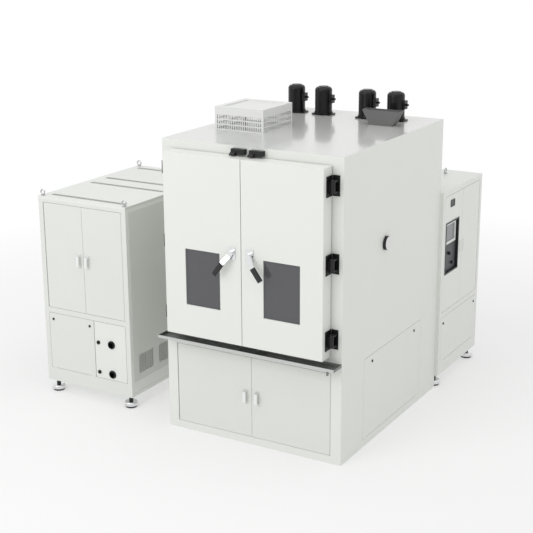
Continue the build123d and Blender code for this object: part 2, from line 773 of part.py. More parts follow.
def door_fittings():
    """Three hinge straps and the lever's rose."""
    return [door_hinge(z) for z in HINGE_LEVELS] + [lever_rose()]


LEVER_PLACE = Pos(LEVER_OFFSET, ROSE_FRONT, LEVER_Z) * Rot(0, -LEVER_DROOP, 0)
GRIP_MIDDLE = -ARM_SETOUT - LEVER_THICKNESS / 2


def lever_tang():
    """Flat tang of the lever inside its grip."""
    half = TANG_THICKNESS / 2
    low = -ARM_LENGTH - TANG_LENGTH
    return block(-TANG_WIDTH / 2, TANG_WIDTH / 2, GRIP_MIDDLE - half, GRIP_MIDDLE + half, low, -ARM_LENGTH)


def lever():
    """Cranked lever with its tang, boss, spindle and the hub that drives the rods."""
    front = -ARM_STANDOFF - LEVER_THICKNESS
    side = Polyline(
        [
            (0, -ARM_STANDOFF, BOSS_RADIUS),
            (0, front, BOSS_RADIUS),
            (0, front, -BOSS_RADIUS),
            (0, -ARM_SETOUT - LEVER_THICKNESS, -ARM_LENGTH),
            (0, -ARM_SETOUT, -ARM_LENGTH),
            (0, -ARM_STANDOFF, -BOSS_RADIUS),
        ],
        close=True,
    )
    arm = extrude(make_face(side), LEVER_WIDTH / 2, both=True)
    arm = fillet(arm.edges().filter_by(Axis.Y).sort_by(Axis.Z)[-2:], LEVER_ROUNDING)
    arm += lever_tang()
    boss_start = -ARM_STANDOFF - LEVER_THICKNESS / 2
    arm += rod((0, boss_start, 0), (0, 1, 0), BOSS_RADIUS - LEVER_THICKNESS / 4, -SEAT_GAP - boss_start)
    spindle_end = ROD_Y + HUB_LENGTH / 2 - ROSE_FRONT
    arm += rod((0, boss_start, 0), (0, 1, 0), SPINDLE_RADIUS, spindle_end - boss_start)
    arm += rod((0, spindle_end - HUB_LENGTH, 0), (0, 1, 0), HUB_RADIUS, HUB_LENGTH)
    return [LEVER_PLACE * arm]


def lever_grip():
    """Moulded grip pushed over the lever's tang."""
    half = GRIP_THICKNESS / 2
    low = -ARM_LENGTH - GRIP_LENGTH
    grip = block(-GRIP_WIDTH / 2, GRIP_WIDTH / 2, GRIP_MIDDLE - half, GRIP_MIDDLE + half, low, -ARM_LENGTH)
    grip = fillet(grip.edges().filter_by(Axis.Z), GRIP_ROUNDING)
    return [LEVER_PLACE * (grip - lever_tang())]


def upper_rod():
    """Locking rod from the lock case to the door's top."""
    start = LEVER_Z + ROD_START
    return [rod((LEVER_OFFSET, ROD_Y, start), (0, 0, 1), ROD_RADIUS, LEAF_HIGH + ROD_PROUD - start)]


def lower_rod():
    """Locking rod from the lock case to the door's bottom."""
    start = LEAF_LOW - ROD_PROUD
    return [rod((LEVER_OFFSET, ROD_Y, start), (0, 0, 1), ROD_RADIUS, LEVER_Z - ROD_START - start)]


def catch_over(x):
    """Catch over one door with its sloping jaw, bored for the upper rod."""
    low = LEAF_HIGH + CATCH_RISE
    left = x - CATCH_WIDTH / 2
    front = FRONT - CATCH_DEPTH
    catch = block(left, left + CATCH_WIDTH, front, FRONT, low, low + CATCH_HEIGHT)
    side = Polyline(
        [
            (left, front, low + CATCH_HEIGHT / 2),
            (left, front - JAW_NOSE, low),
            (left, front - JAW_NOSE, low - JAW_LIFT),
            (left, front + JAW_LAP, low - JAW_LIFT),
            (left, front + JAW_LAP, low + CATCH_HEIGHT / 2),
        ],
        close=True,
    )
    catch += extrude(make_face(side), JAW_WIDTH, dir=(1, 0, 0))
    return catch - rod((x, ROD_Y, low), (0, 0, 1), ROD_RADIUS + KEEPER_CLEARANCE, CATCH_HEIGHT)


def keeper_under(x):
    """Keeper that stands out under one door, bored for the lower rod."""
    top = LEAF_LOW - KEEPER_DROP
    low = top - KEEPER_HEIGHT
    keeper = block(x - KEEPER_WIDTH / 2, x + KEEPER_WIDTH / 2, FRONT - KEEPER_DEPTH, FRONT, low, top)
    return keeper - rod((x, ROD_Y, low), (0, 0, 1), ROD_RADIUS + KEEPER_CLEARANCE, KEEPER_HEIGHT)


def door_catches():
    """Catches over both doors and keepers under them."""
    places = (-LEVER_OFFSET, LEVER_OFFSET)
    return [catch_over(x) for x in places] + [keeper_under(x) for x in places]


# Doors of the base

def base_door():
    """Right base door with its bow handle."""
    leaf = edge_leaf(BASE_DOORS_EDGE - LEAF_GAP / 2, BASE_DOORS_HIGH - BASE_DOORS_LOW)
    axis = Pos(0, FRONT, 0) * leaf_axis(BASE_DOORS_EDGE, BASE_DOORS_LOW)
    return [axis * leaf, Pos(BOW_INSET, FRONT, BASE_BOW_LEVEL) * bow_handle()]


# Cable port

def port_flange():
    """Sleeve through the right wall with a flange outside."""
    start = (LINER, PORT_Y, PORT_LEVEL)
    length = RIGHT - LINER
    flange = rod(start, (1, 0, 0), PORT_RADIUS + PORT_SLEEVE, length)
    flange += rod((RIGHT, PORT_Y, PORT_LEVEL), (1, 0, 0), PORT_FLANGE, PORT_FLANGE_THICKNESS)
    return [flange - rod(start, (1, 0, 0), PORT_RADIUS, length + PORT_FLANGE_THICKNESS)]


def port_plug():
    """Stopper with a thick head that rests on the flange and is pulled out by hand."""
    face = RIGHT + PORT_FLANGE_THICKNESS
    plug = rod((face - PLUG_LENGTH, PORT_Y, PORT_LEVEL), (1, 0, 0), PORT_RADIUS - SEAT_GAP, PLUG_LENGTH)
    head = rod((face, PORT_Y, PORT_LEVEL), (1, 0, 0), PLUG_HEAD, PLUG_HEAD_THICKNESS)
    return [plug + fillet(head.edges().filter_by(GeomType.CIRCLE).sort_by(Axis.X)[-1], PLUG_ROUNDING)]


# Roof

def slotted_wall(length):
    """Wall of the vent box with its rows of slots."""
    count = int((length - 2 * VENT_EDGE) // VENT_SLOT_PITCH)
    slots = []
    for row in range(VENT_ROWS):
        z = VENT_FIRST_ROW + VENT_SLOT_HEIGHT / 2 + row * VENT_ROW_PITCH
        for column in range(count):
            x = (column - (count - 1) / 2) * VENT_SLOT_PITCH
            slots.append(Pos(x, z) * Rectangle(VENT_SLOT_WIDTH, VENT_SLOT_HEIGHT))
    sheet = Rectangle(length, VENT_WALL_HEIGHT, align=(Align.CENTER, Align.MIN)) - slots
    return upright(sheet, VENT_SKIN)


def vent_box():
    """Four slotted walls under a top panel that is sunk inside its rim."""
    centre = Pos(-RIGHT + VENT_INSET + VENT_WIDTH / 2, FRONT + VENT_SETBACK + VENT_DEPTH / 2, CHAMBER_HEIGHT)
    deep = VENT_DEPTH / 2
    wide = VENT_WIDTH / 2
    inner = VENT_DEPTH - 2 * VENT_SKIN
    walls = [
        Pos(0, -deep, 0) * slotted_wall(VENT_WIDTH),
        Rot(0, 0, 180) * Pos(0, -deep, 0) * slotted_wall(VENT_WIDTH),
        Rot(0, 0, 90) * Pos(0, -wide, 0) * slotted_wall(inner),
        Rot(0, 0, -90) * Pos(0, -wide, 0) * slotted_wall(inner),
    ]
    panel = VENT_WALL_HEIGHT + VENT_SKIN
    top = block(-wide, wide, -deep, deep, VENT_WALL_HEIGHT, panel + VENT_SINK)
    x = wide - VENT_RIM
    y = deep - VENT_RIM
    top -= block(-x, x, -y, y, panel, panel + VENT_SINK)
    return placed(centre, walls + [top])


def fan_motor(x):
    """Upright motor on its flange with a terminal box and its gland."""
    up = (0, 0, 1)
    top = MOTOR_HEIGHT - MOTOR_CAP
    shell = rod((0, 0, FLANGE_THICKNESS), up, MOTOR_RADIUS, top - FLANGE_THICKNESS)
    body = fillet(shell.edges().filter_by(GeomType.CIRCLE).sort_by(Axis.Z)[-1], MOTOR_SHOULDER)
    body += rod((0, 0, top), up, MOTOR_CAP_RADIUS, MOTOR_CAP)
    body += rod((0, 0, FLANGE_THICKNESS), up, MOTOR_FOOT_RADIUS, MOTOR_FOOT)
    flange = block(-FLANGE_WIDTH / 2, FLANGE_WIDTH / 2, -FLANGE_DEPTH / 2, FLANGE_DEPTH / 2, 0, FLANGE_THICKNESS)
    body += fillet(flange.edges().filter_by(Axis.Z), FLANGE_CORNER)
    half = TERMINAL_WIDTH / 2
    outer = MOTOR_RADIUS + TERMINAL_DEPTH
    body += block(MOTOR_CAP_RADIUS, outer, -half, half, TERMINAL_LEVEL, TERMINAL_LEVEL + TERMINAL_HEIGHT)
    body += rod((outer, 0, TERMINAL_LEVEL + TERMINAL_HEIGHT / 2), (1, 0, 0), GLAND_RADIUS, GLAND_LENGTH)
    body -= rod((0, 0, 0), up, SHAFT_RADIUS + RUNNING_GAP, FLANGE_THICKNESS + SHAFT_SEAT)
    return Pos(x, MOTOR_Y, CHAMBER_HEIGHT) * body


def wheel_blade():
    """Plan of one backward-leaning blade, bulged between the wheel's eye and its rim."""
    inner = Vector(WHEEL_EYE, 0)
    outer = Vector(WHEEL_RADIUS - BLADE_THICKNESS, 0).rotate(Axis.Z, -BLADE_LEAN)
    middle = (inner + outer) * 0.5
    spine = ThreePointArc(inner, middle + middle.normalized() * BLADE_BULGE, outer)
    return trace(spine, BLADE_THICKNESS)


def fan_rotor(x):
    """Motor shaft with a centrifugal wheel, its blades between a disc and an eye ring."""
    high = SPACE_HIGH - WHEEL_DROP
    low = high - WHEEL_HEIGHT
    up = (0, 0, 1)
    wheel = rod((0, 0, high - WHEEL_DISC), up, WHEEL_RADIUS, WHEEL_DISC)
    ring = rod((0, 0, low), up, WHEEL_RADIUS, WHEEL_DISC)
    wheel += ring - rod((0, 0, low), up, WHEEL_EYE, WHEEL_DISC)
    blade = Pos(0, 0, low + WHEEL_DISC) * extrude(wheel_blade(), WHEEL_HEIGHT - 2 * WHEEL_DISC)
    wheel += [Rot(0, 0, 360 * index / WHEEL_BLADES) * blade for index in range(WHEEL_BLADES)]
    hub_low = high - WHEEL_HUB_HEIGHT
    wheel += rod((0, 0, hub_low), up, WHEEL_HUB_RADIUS, WHEEL_HUB_HEIGHT)
    shaft_top = CHAMBER_HEIGHT + FLANGE_THICKNESS + SHAFT_SEAT - SHAFT_END_GAP
    wheel += rod((0, 0, hub_low), up, SHAFT_RADIUS, shaft_top - hub_low)
    return Pos(x, MOTOR_Y, 0) * wheel


def hopper_prism(inset, y, depth, floor):
    """Upright trapezoid block with its sides drawn in by an inset."""
    top = CHAMBER_HEIGHT + HOPPER_HEIGHT
    low = HOPPER_BOTTOM / 2 - inset
    high = HOPPER_TOP / 2 - inset
    outline = Polyline([(-low, y, floor), (low, y, floor), (high, y, top), (-high, y, top)], close=True)
    return Pos(HOPPER_OFFSET, 0, 0) * extrude(make_face(outline), depth, dir=(0, 1, 0))


def intake_hopper():
    """Open sheet hopper that narrows towards the roof."""
    y = FRONT + HOPPER_SETBACK
    skin = HOPPER_SKIN
    outside = hopper_prism(0, y, HOPPER_DEPTH, CHAMBER_HEIGHT)
    return [outside - hopper_prism(skin, y + skin, HOPPER_DEPTH - 2 * skin, CHAMBER_HEIGHT + skin)]


# Air duct

def air_baffle():
    """Sheet in front of the fans with outlets above and inlets below, on side flanges."""
    y0 = FRONT + BAFFLE_SETBACK
    low = SPACE_LOW + SKIN
    high = SPACE_HIGH - SKIN
    height = high - low
    rise = height / 2 - BAFFLE_MARGIN - BAFFLE_SLOT_HEIGHT / 2
    slots = []
    for column in range(BAFFLE_SLOTS):
        x = (column - (BAFFLE_SLOTS - 1) / 2) * BAFFLE_SLOT_PITCH
        for z in (-rise, rise):
            slots.append(Pos(x, z) * Rectangle(BAFFLE_SLOT_WIDTH, BAFFLE_SLOT_HEIGHT))
    sheet = Rectangle(2 * LINER, height) - slots
    baffle = Pos(0, y0, (low + high) / 2) * upright(sheet, BAFFLE_THICKNESS)
    for x0 in (-LINER, LINER - BAFFLE_THICKNESS):
        baffle += block(x0, x0 + BAFFLE_THICKNESS, y0, y0 + BAFFLE_FLANGE, low, high)
    return [baffle]


def evaporator():
    """Finned cooling coil on the rear wall, and heater rods between the side walls above it."""
    back = SPACE_BACK - SKIN
    front = back - COIL_DEPTH
    top = COIL_LEVEL + COIL_HEIGHT
    half = COIL_FINS * COIL_FIN_PITCH / 2
    inset = COIL_CORE_INSET
    coil = block(-half, half, front + inset, back, COIL_LEVEL + inset, top - inset)
    fins = []
    for index in range(COIL_FINS + 1):
        x0 = index * COIL_FIN_PITCH - half - COIL_FIN_THICKNESS / 2
        fins.append(block(x0, x0 + COIL_FIN_THICKNESS, front, back, COIL_LEVEL, top))
    pieces = [coil + fins]
    for index in range(HEATER_COUNT):
        y = back - HEATER_PITCH * (index + 0.5)
        pieces.append(rod((-LINER, y, HEATER_LEVEL), (1, 0, 0), HEATER_RADIUS, 2 * LINER))
    return pieces


# Cabinets, made with the front at y = 0 facing -Y, the middle at x = 0 and the floor at z = 0

def cabinet_front(openings):
    """Posts and rails of a cabinet's front."""
    margin = CABINET_MARGIN - LEAF_GAP
    low = FOOT_HEIGHT + CABINET_WALL
    high = CABINET_TOP - CABINET_ROOF
    return framed_wall(-CABINET_HALF, CABINET_HALF, (margin, margin), 0, CABINET_WALL, low, high, openings)


def cooling_side_frame():
    """Posts and rails that carry the right side's panels, one sheet behind their faces."""
    low = FOOT_HEIGHT + CABINET_WALL
    high = CABINET_TOP - CABINET_ROOF
    lap = SIDE_PANEL_LAP
    middle = SIDE_PANEL_START + SIDE_PANEL_LENGTH + SIDE_PANEL_GAP / 2
    first = SIDE_PANEL_START + lap
    last = 2 * middle - first
    post = SIDE_PANEL_GAP / 2 + lap
    x0 = CABINET_HALF - CABINET_WALL
    x1 = CABINET_HALF - SHEET
    return [
        block(x0, x1, CABINET_WALL, first, low, high),
        block(x0, x1, last, COOLING_DEPTH - CABINET_WALL, low, high),
        block(x0, x1, middle - post, middle + post, SIDE_PANEL_LOW + lap, DOORS_HIGH - lap),
        block(x0, x1, first, last, low, SIDE_PANEL_LOW + lap),
        block(x0, x1, first, last, DOORS_HIGH - lap, high),
    ]


def cooling_cabinet():
    """Frame of the cooling cabinet, open at its sides and top for the panels."""
    wall = CABINET_WALL
    top = CABINET_TOP - CABINET_ROOF
    low = FOOT_HEIGHT + wall
    openings = [gapped(COOLING_PANEL_LOW, COOLING_PANEL_HIGH), gapped(COOLING_DOORS_LOW, DOORS_HIGH)]
    pieces = [
        block(-CABINET_HALF, CABINET_HALF, 0, COOLING_DEPTH, FOOT_HEIGHT, low),
        block(-CABINET_HALF, CABINET_HALF, COOLING_DEPTH - wall, COOLING_DEPTH, low, top),
        block(FIXED_PANEL_X - 2 * LEAF_GAP - MULLION_LAP, FIXED_PANEL_X + MULLION_LAP, PANEL_DEPTH, wall, *openings[0]),
    ]
    pieces += cabinet_front(openings) + door_pair_pins(CABINET_EDGE, COOLING_DOORS_LOW, DOORS_HIGH)
    sides = cooling_side_frame()
    return placed(COOLING_PLACE, pieces + sides + flipped(sides))


def grille_slots(start):
    """Slots of one grille on a side panel, every other column half a pitch higher."""
    slots = []
    for column in range(GRILLE_COLUMNS):
        x = start + (column + 0.5) * GRILLE_PITCH_X
        shift = GRILLE_PITCH_Z / 2 if column % 2 else 0
        for row in range(GRILLE_ROWS):
            z = GRILLE_LEVEL + (row + 0.5) * GRILLE_PITCH_Z + shift
            slots.append(Pos(x, z) * Rectangle(GRILLE_SLOT_WIDTH, GRILLE_SLOT_HEIGHT))
    return slots


def side_panels():
    """The right side's front panel with two grilles and its plain rear panel."""
    outline = Rectangle(SIDE_PANEL_LENGTH, DOORS_HIGH - SIDE_PANEL_LOW, align=(Align.MIN, Align.MIN))
    second = SIDE_PANEL_LENGTH - GRILLE_END_MARGIN - GRILLE_COLUMNS * GRILLE_PITCH_X
    slots = grille_slots(GRILLE_MARGIN) + grille_slots(second)
    front = Pos(SIDE_PANEL_START, 0, SIDE_PANEL_LOW)
    rear = front * Pos(SIDE_PANEL_LENGTH + SIDE_PANEL_GAP, 0, 0)
    side = Pos(CABINET_HALF, 0, 0) * Rot(0, 0, 90)
    return [side * front * upright(outline - slots, SHEET), side * rear * upright(outline, SHEET)]


def roof_panel(start, length, rows):
    """Sheet of the cooling cabinet's roof with its rows of slots and a rim that rests on the frame."""
    low = CABINET_TOP - CABINET_ROOF
    skin = CABINET_TOP - SHEET
    wall = CABINET_WALL
    panel = block(-CABINET_HALF, CABINET_HALF, start, start + length, low, CABINET_TOP)
    panel -= block(wall - CABINET_HALF, CABINET_HALF - wall, start + wall, start + length - wall, low, skin)
    slots = []
    for row in rows:
        for index in range(ROOF_SLOTS):
            x = (index - (ROOF_SLOTS - 1) / 2) * ROOF_SLOT_PITCH
            slots.append(Pos(x, row) * Rectangle(ROOF_SLOT_WIDTH, ROOF_SLOT_LENGTH))
    return panel - [Pos(0, 0, skin) * extrude(slot, SHEET) for slot in slots]


def pipe_list():
    """Distance from the fixed panel's left edge, radius and height of each pipe port."""
    columns = ((SMALL_PIPE_COLUMN, SMALL_PIPE_RADIUS), (LARGE_PIPE_COLUMN, LARGE_PIPE_RADIUS))
    return [(x, radius, z) for x, radius in columns for z in (LOWER_PIPES, UPPER_PIPES)]


def fixed_panel():
    """Panel that the pipe ports pass through."""
    panel = block(FIXED_PANEL_X, CABINET_EDGE, 0, PANEL_DEPTH, COOLING_PANEL_LOW, COOLING_PANEL_HIGH)
    return panel - [rod((FIXED_PANEL_X + x, 0, z), (0, 1, 0), radius, PANEL_DEPTH) for x, radius, z in pipe_list()]


def cooling_panels():
    """Side panels, the roof's two panels and the fixed front panel."""
    sides = side_panels()
    half = COOLING_DEPTH / 2
    front_rows = (ROOF_ROW_END, half - ROOF_ROW_NEAR)
    rear_rows = (half + ROOF_ROW_FAR, COOLING_DEPTH - ROOF_ROW_END)
    roof = [roof_panel(0, half, front_rows), roof_panel(half, half, rear_rows)]
    return placed(COOLING_PLACE, sides + flipped(sides) + roof + [fixed_panel()])


def pipe_ports():
    """Pipe stubs through the fixed panel with a collar on its face."""
    pieces = []
    for x, radius, z in pipe_list():
        start = (FIXED_PANEL_X + x, -PIPE_PROUD, z)
        stub = rod(start, (0, 1, 0), radius, PIPE_PROUD + PIPE_LENGTH)
        stub += rod((FIXED_PANEL_X + x, -PIPE_COLLAR, z), (0, 1, 0), radius + PIPE_COLLAR, PIPE_COLLAR)
        pieces.append(stub - rod(start, (0, 1, 0), radius - PIPE_WALL, PIPE_PROUD + PIPE_LENGTH))
    return placed(COOLING_PLACE, pieces)


def cooling_door():
    """Right door of the cooling cabinet with its bow handle."""
    leaf = leaf_axis(CABINET_EDGE, COOLING_DOORS_LOW) * edge_leaf(CABINET_LEAF, DOORS_HIGH - COOLING_DOORS_LOW)
    return [leaf, Pos(CABINET_BOW_INSET, 0, CABINET_BOW_LEVEL) * bow_handle()]


def refrigeration_set():
    """Two hermetic compressors, and a shell condenser on its saddles."""
    floor = FOOT_HEIGHT + CABINET_WALL
    pieces = []
    for x in (-COMPRESSOR_SPACING / 2, COMPRESSOR_SPACING / 2):
        shell = rod((x, COMPRESSOR_SETBACK, floor), (0, 0, 1), COMPRESSOR_RADIUS, COMPRESSOR_HEIGHT)
        pieces.append(fillet(shell.edges().sort_by(Axis.Z)[-1], COMPRESSOR_CROWN))
    y = CONDENSER_SETBACK
    level = floor + SADDLE_HEIGHT + CONDENSER_RADIUS / 2
    tank = rod((-CONDENSER_LENGTH / 2, y, level), (1, 0, 0), CONDENSER_RADIUS, CONDENSER_LENGTH)
    half = SADDLE_DEPTH / 2
    for x in (-SADDLE_SPACING / 2, SADDLE_SPACING / 2):
        saddle = block(x - SADDLE_WIDTH / 2, x + SADDLE_WIDTH / 2, y - half, y + half, floor, floor + SADDLE_HEIGHT)
        pieces.append(saddle - tank)
    return placed(COOLING_PLACE, pieces + [tank])


def control_cabinet():
    """Closed control cabinet with an open frame in front."""
    wall = CABINET_WALL
    top = CABINET_TOP - CABINET_ROOF
    low = FOOT_HEIGHT + wall
    rear = CONTROL_DEPTH - wall
    half = CABINET_HALF
    openings = [gapped(CONTROL_PANEL_LOW, CONTROL_PANEL_HIGH), gapped(CONTROL_DOORS_LOW, DOORS_HIGH)]
    pieces = [
        block(-half, half, 0, CONTROL_DEPTH, FOOT_HEIGHT, low),
        block(-half, half, 0, CONTROL_DEPTH, top, CABINET_TOP),
        block(-half, half, rear, CONTROL_DEPTH, low, top),
        block(-half, wall - half, wall, rear, low, top),
        block(half - wall, half, wall, rear, low, top),
    ]
    pieces += cabinet_front(openings) + door_pair_pins(CABINET_EDGE, CONTROL_DOORS_LOW, DOORS_HIGH)
    return placed(CONTROL_PLACE, pieces)


def pocket_handle():
    """Shallow dished pull on the XZ plane, its face towards -Y."""
    half = POCKET_WIDTH / 2
    rise = POCKET_HEIGHT / 2
    border = POCKET_BORDER
    pull = block(-half, half, -POCKET_DEPTH, 0, -rise, rise)
    return pull - block(border - half, half - border, -POCKET_DEPTH, -POCKET_DEPTH / 2, border - rise, rise - border)


def control_door():
    """Right door of the control cabinet with its pull."""
    leaf = leaf_axis(CABINET_EDGE, CONTROL_DOORS_LOW) * edge_leaf(CABINET_LEAF, DOORS_HIGH - CONTROL_DOORS_LOW)
    return [leaf, Pos(POCKET_INSET, 0, POCKET_LEVEL) * pocket_handle()]


def operator_door():
    """Left door of the control cabinet with the cut-out for the operator panel."""
    leaf, pull = flipped(control_door())
    frame = OPERATOR_FRAME
    cut = (OPERATOR_LEFT + frame, OPERATOR_RIGHT - frame, 0, LEAF_DEPTH, OPERATOR_LOW + frame, OPERATOR_TOP - frame)
    return [leaf - block(*cut), pull]


def operator_place(place, y):
    """Point over the operator panel's lower left corner at a given depth."""
    return (OPERATOR_LEFT + place[0], y, OPERATOR_LOW + place[1])


def porthole():
    """Small framed window over the operator panel."""
    x, y, z = operator_place(PORTHOLE_PLACE, -PORTHOLE_DEPTH)
    half = PORTHOLE_WIDTH / 2
    rise = PORTHOLE_HEIGHT / 2
    border = PORTHOLE_BORDER
    frame = block(x - half, x + half, y, 0, z - rise, z + rise)
    return frame - block(x - half + border, x + half - border, y, y / 2, z - rise + border, z + rise - border)


def operator_panel():
    """Black frame and tray with its raised lower plate, a capped socket and the framed window."""
    x0 = OPERATOR_LEFT + OPERATOR_FRAME
    x1 = OPERATOR_RIGHT - OPERATOR_FRAME
    z0 = OPERATOR_LOW + OPERATOR_FRAME
    z1 = OPERATOR_TOP - OPERATOR_FRAME
    sheet = OPERATOR_SHEET
    tray = block(OPERATOR_LEFT, OPERATOR_RIGHT, -OPERATOR_LIP, 0, OPERATOR_LOW, OPERATOR_TOP)
    tray += block(x0, x1, 0, OPERATOR_SINK + sheet, z0, z1)
    tray -= block(x0 + sheet, x1 - sheet, -OPERATOR_LIP, OPERATOR_SINK, z0 + sheet, z1 - sheet)
    tray += block(x0 + sheet, x1 - sheet, PLATE_FACE, OPERATOR_SINK, z0 + sheet, OPERATOR_LOW + PLATE_HEIGHT)
    hole = STEM_RADIUS + RUNNING_GAP
    for place in (KNOB_PLACE, BUTTON_PLACE):
        tray -= rod(operator_place(place, PLATE_FACE), (0, 1, 0), hole, PLATE_RISE + sheet)
    socket = rod(operator_place(SOCKET_PLACE, PLATE_FACE - SOCKET_DEPTH), (0, 1, 0), CONTROL_RADIUS, SOCKET_DEPTH)
    return placed(CONTROL_PLACE, [tray, socket, porthole()])


def screen():
    """Bezel with a touch screen behind its opening."""
    x0 = OPERATOR_LEFT + OPERATOR_FRAME + SCREEN_LEFT
    x1 = x0 + SCREEN_WIDTH
    z1 = OPERATOR_TOP - SCREEN_TOP
    z0 = z1 - SCREEN_HEIGHT
    front = OPERATOR_SINK - SCREEN_DEPTH
    back = OPERATOR_SINK - GLASS_SHEET
    border = SCREEN_BEZEL
    bezel = block(x0, x1, front, OPERATOR_SINK, z0, z1)
    bezel -= block(x0 + border, x1 - border, front, back, z0 + border, z1 - border)
    glass = block(x0 + border, x1 - border, back - GLASS_SHEET, back, z0 + border, z1 - border)
    return placed(CONTROL_PLACE, [bezel, glass])


def selector_knob():
    """Turning selector with a raised grip and its stem."""
    x, front, z = operator_place(KNOB_PLACE, PLATE_FACE - KNOB_DEPTH)
    knob = rod((x, front, z), (0, 1, 0), CONTROL_RADIUS, KNOB_DEPTH - SEAT_GAP)
    half = KNOB_GRIP_WIDTH / 2
    knob += block(x - half, x + half, front - KNOB_GRIP_DEPTH, front, z - CONTROL_RADIUS, z + CONTROL_RADIUS)
    knob += rod((x, front, z), (0, 1, 0), STEM_RADIUS, KNOB_DEPTH + PLATE_RISE)
    return placed(CONTROL_PLACE, [knob])


def push_button():
    """Round push button held off the plate by its travel."""
    x, front, z = operator_place(BUTTON_PLACE, PLATE_FACE - BUTTON_GAP - BUTTON_DEPTH)
    button = rod((x, front, z), (0, 1, 0), CONTROL_RADIUS, BUTTON_DEPTH)
    button += rod((x, front, z), (0, 1, 0), STEM_RADIUS, BUTTON_DEPTH + BUTTON_GAP + PLATE_RISE)
    return placed(CONTROL_PLACE, [button])


def switchgear():
    """Mounting plate on its brackets with rows of devices."""
    y = GEAR_SETBACK
    low = CONTROL_DOORS_LOW
    half = CABINET_HALF - CABINET_WALL - GEAR_MARGIN
    pieces = [block(-half, half, y, y + GEAR_PLATE, low, DOORS_HIGH)]
    rear = CONTROL_DEPTH - CABINET_WALL
    for x0 in (-half, half - GEAR_BRACKET):
        for z0 in (low, DOORS_HIGH - GEAR_BRACKET):
            pieces.append(block(x0, x0 + GEAR_BRACKET, y + GEAR_PLATE, rear, z0, z0 + GEAR_BRACKET))
    middle = (low + DOORS_HIGH) / 2
    for row in range(GEAR_ROWS):
        z0 = middle + (row - (GEAR_ROWS - 1) / 2) * GEAR_PITCH_Z - GEAR_HEIGHT / 2
        for column in range(GEAR_COLUMNS):
            x0 = (column - (GEAR_COLUMNS - 1) / 2) * GEAR_PITCH_X - GEAR_WIDTH / 2
            pieces.append(block(x0, x0 + GEAR_WIDTH, y - GEAR_DEPTH, y, z0, z0 + GEAR_HEIGHT))
    return placed(CONTROL_PLACE, pieces)


# Feet and lifting eyes

def levelling_foot():
    """Rubber pad, rounded bell, lock nut and threaded stud of one foot."""
    up = (0, 0, 1)
    bell = rod((0, 0, PAD_HEIGHT), up, BELL_RADIUS, BELL_HEIGHT)
    foot = fillet(bell.edges().filter_by(GeomType.CIRCLE).sort_by(Axis.Z)[-1], BELL_ROUNDING)
    foot += rod((0, 0, 0), up, PAD_RADIUS, PAD_HEIGHT)
    bell_top = PAD_HEIGHT + BELL_HEIGHT
    foot += rod((0, 0, bell_top), up, STUD_RADIUS, FOOT_HEIGHT - bell_top)
    nut = extrude(RegularPolygon(NUT_RADIUS, HEXAGON_SIDES), NUT_HEIGHT)
    return foot + Pos(0, 0, bell_top) * nut


def lifting_eye():
    """Ring on a collar, standing on a cabinet's top."""
    collar = rod((0, 0, 0), (0, 0, 1), EYE_COLLAR, EYE_COLLAR_HEIGHT)
    ring = Pos(0, 0, EYE_COLLAR_HEIGHT + EYE_RADIUS) * Rot(90, 0, 0) * Torus(EYE_RADIUS, EYE_BAR)
    return Pos(0, 0, CABINET_TOP) * (collar + ring)


def spread(solid, half_x, places_y):
    """Copies of a piece on both sides of the middle at each depth."""
    return [Pos(x, y, 0) * solid for x in (-half_x, half_x) for y in places_y]


def feet_and_lifting_eyes():
    """Feet and lifting eyes of both cabinets."""
    foot_half = CABINET_HALF - FOOT_INSET
    cooling = spread(levelling_foot(), foot_half, (FOOT_INSET, COOLING_DEPTH - FOOT_INSET))
    cooling += spread(lifting_eye(), CABINET_HALF - EYE_INSET, (EYE_INSET, COOLING_DEPTH - EYE_INSET))
    control = spread(levelling_foot(), foot_half, (FOOT_INSET, CONTROL_DEPTH - FOOT_INSET))
    control += spread(lifting_eye(), CABINET_HALF - CONTROL_EYE_INSET, (CONTROL_DEPTH / 2,))
    return placed(COOLING_PLACE, cooling) + placed(CONTROL_PLACE, control)


def chamber_nodes():
    """Nodes of the chamber, its doors and what stands on its roof."""
    found = {
        "base_frame": base_frame(),
        "insulation": insulation(),
        "outer_casing": outer_casing(),
        "test_space_liner": test_space_liner(),
        "drip_tray": drip_tray(),
        "door_catches": door_catches(),
        "hinge_brackets": hinge_brackets(),
        "port_flange": port_flange(),
        "port_plug": port_plug(),
        "vent_box": vent_box(),
        "intake_hopper": intake_hopper(),
        "fan_motors": [fan_motor(x) for x in MOTOR_X],
        "air_baffle": air_baffle(),
        "evaporator": evaporator(),
    }
    for number, x in enumerate(MOTOR_X, start=1):
        found[f"fan_rotor_{number}"] = [fan_rotor(x)]
    right_side = {
        "door_leaf": door_leaf(),
        "door_gasket": door_gasket(),
        "door_window": door_window(),
        "door_fittings": door_fittings(),
        "lever": lever(),
        "lever_grip": lever_grip(),
        "upper_rod": upper_rod(),
        "lower_rod": lower_rod(),
        "base_door": base_door(),
    }
    for name, solids in right_side.items():
        found["right_" + name] = solids
        found["left_" + name] = flipped(solids)
    height = BASE_DOORS_HIGH - BASE_DOORS_LOW
    place = SIDE_PLACE * Pos(SERVICE_START, 0, BASE_DOORS_LOW)
    return found | panel_with_latches("service", place, SERVICE_LENGTH, height, SERVICE_LATCH_INSET)


